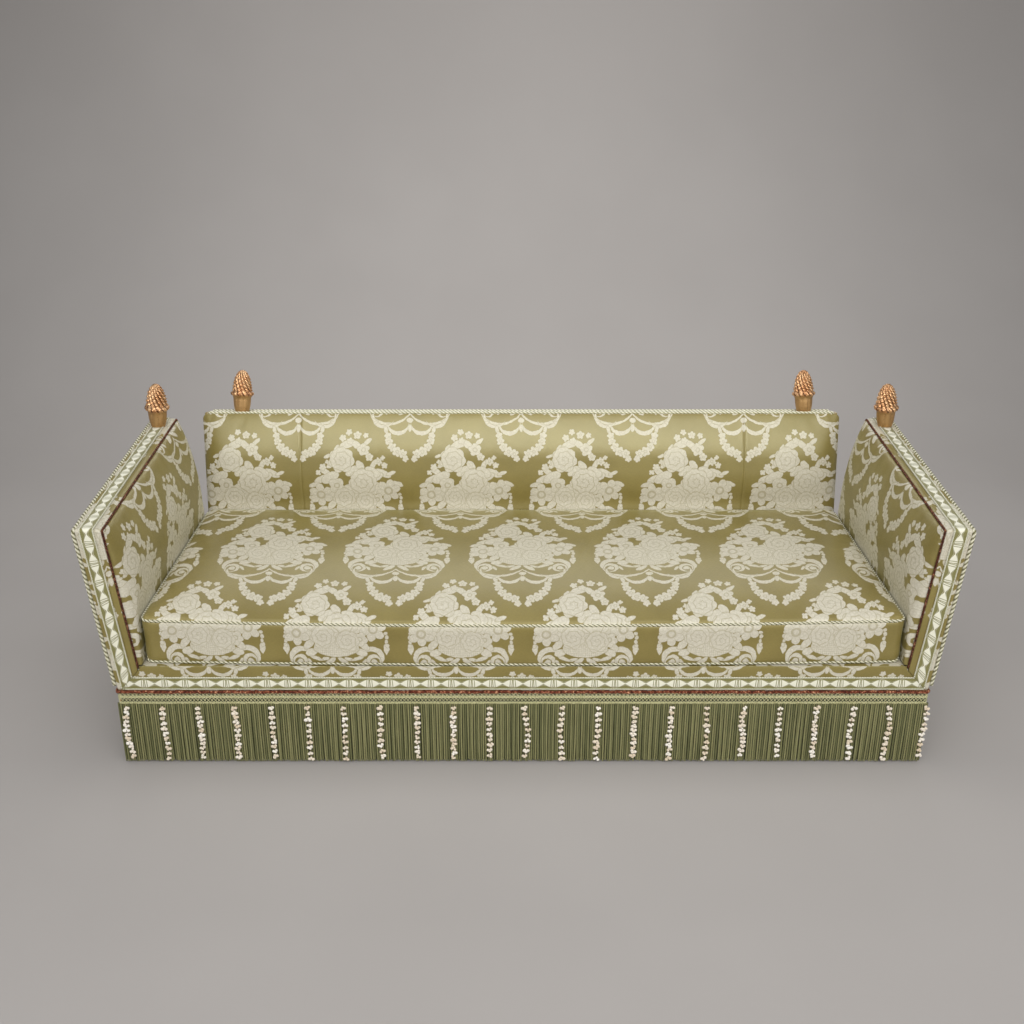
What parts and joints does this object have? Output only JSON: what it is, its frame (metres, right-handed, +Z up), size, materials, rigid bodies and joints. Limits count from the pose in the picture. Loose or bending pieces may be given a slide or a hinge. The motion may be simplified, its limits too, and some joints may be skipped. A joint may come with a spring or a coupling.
{
  "type": "knole sofa",
  "caption": "Three-seat knole sofa with hinged drop arms, loose bench cushion, figured damask, bullion fringe and carved acorn finials.",
  "frame": {"origin": "centre of the sofa's bounding box in plan, on the floor", "axes": "+X to the right as seen from the front, -Y towards the front, +Z up"},
  "size_m": [2.4042, 0.9824, 0.9328],
  "materials": {
    "frame_timber": "planed beech",
    "foot_timber": "polished dark",
    "giltwood": "worn gilding over carved wood",
    "jute_webbing": "woven",
    "hessian": "woven",
    "black_lining": "woven",
    "spring_steel": "drawn wire",
    "fitting_steel": "oiled",
    "fitting_brass": "dull",
    "damask": "satin damask, olive ground and cream figure",
    "braid": "figured gimp",
    "rope_cord": "twisted two-colour cord",
    "rust_cord": "fuzzy cord",
    "heading": "open woven trellis",
    "bullion": "twisted wool fringe",
    "florets": "small silk bows"
  },
  "bodies": {
    "seat_frame": {"front_seat_rail": "frame_timber", "rear_seat_rail": "frame_timber", "side_seat_rails": "frame_timber", "seat_cross_rails": "frame_timber", "corner_blocks": "frame_timber", "side_sills": "frame_timber", "back_stiles": "frame_timber", "back_top_rail": "frame_timber", "back_bottom_rail": "frame_timber", "turned_feet": "foot_timber", "seat_webbing": "jute_webbing", "back_webbing": "jute_webbing", "seat_springs": "spring_steel", "seat_hessian": "hessian", "seat_deck": "damask", "front_border": "damask", "back_pad": "damask", "back_outside_cover": "damask", "back_top_band": "damask", "dust_cover": "black_lining", "front_braid": "braid", "base_cord": "rust_cord", "fringe_heading": "heading", "fringe_front": "bullion", "fringe_left": "bullion", "fringe_right": "bullion", "fringe_rear": "bullion", "floret_tufts": "florets", "back_cords": "rope_cord", "left_back_finial": "giltwood", "right_back_finial": "giltwood", "base_hinge_leaves": "fitting_brass", "hinge_pins": "fitting_steel", "ratchet_catches": "fitting_steel"},
    "left_arm": {"left_arm_stiles": "frame_timber", "left_arm_top_rail": "frame_timber", "left_arm_bottom_rail": "frame_timber", "left_arm_pad": "damask", "left_arm_outer_cover": "damask", "left_arm_border": "damask", "left_arm_braid": "braid", "left_arm_rope": "rope_cord", "left_arm_cord": "rust_cord", "left_arm_finial": "giltwood", "left_arm_hinge_leaves": "fitting_brass", "left_arm_ratchet": "fitting_steel"},
    "right_arm": {"right_arm_stiles": "frame_timber", "right_arm_top_rail": "frame_timber", "right_arm_bottom_rail": "frame_timber", "right_arm_pad": "damask", "right_arm_outer_cover": "damask", "right_arm_border": "damask", "right_arm_braid": "braid", "right_arm_rope": "rope_cord", "right_arm_cord": "rust_cord", "right_arm_finial": "giltwood", "right_arm_hinge_leaves": "fitting_brass", "right_arm_ratchet": "fitting_steel"},
    "cushion": {"seat_cushion": "damask", "cushion_piping": "rope_cord"}
  },
  "joints": [
    {"name": "left_arm_drop", "type": "hinge", "parent": "seat_frame", "child": "left_arm", "pos_m": [-1.145, 0, 0.241], "axis": [0, -1, 0], "range_deg": [0, 84]},
    {"name": "right_arm_drop", "type": "hinge", "parent": "seat_frame", "child": "right_arm", "pos_m": [1.145, 0, 0.241], "axis": [0, 1, 0], "range_deg": [0, 84]},
    {"name": "cushion_draw", "type": "slide", "parent": "seat_frame", "child": "cushion", "axis": [0, -1, 0], "range_m": [0, 0.8]}
  ]
}
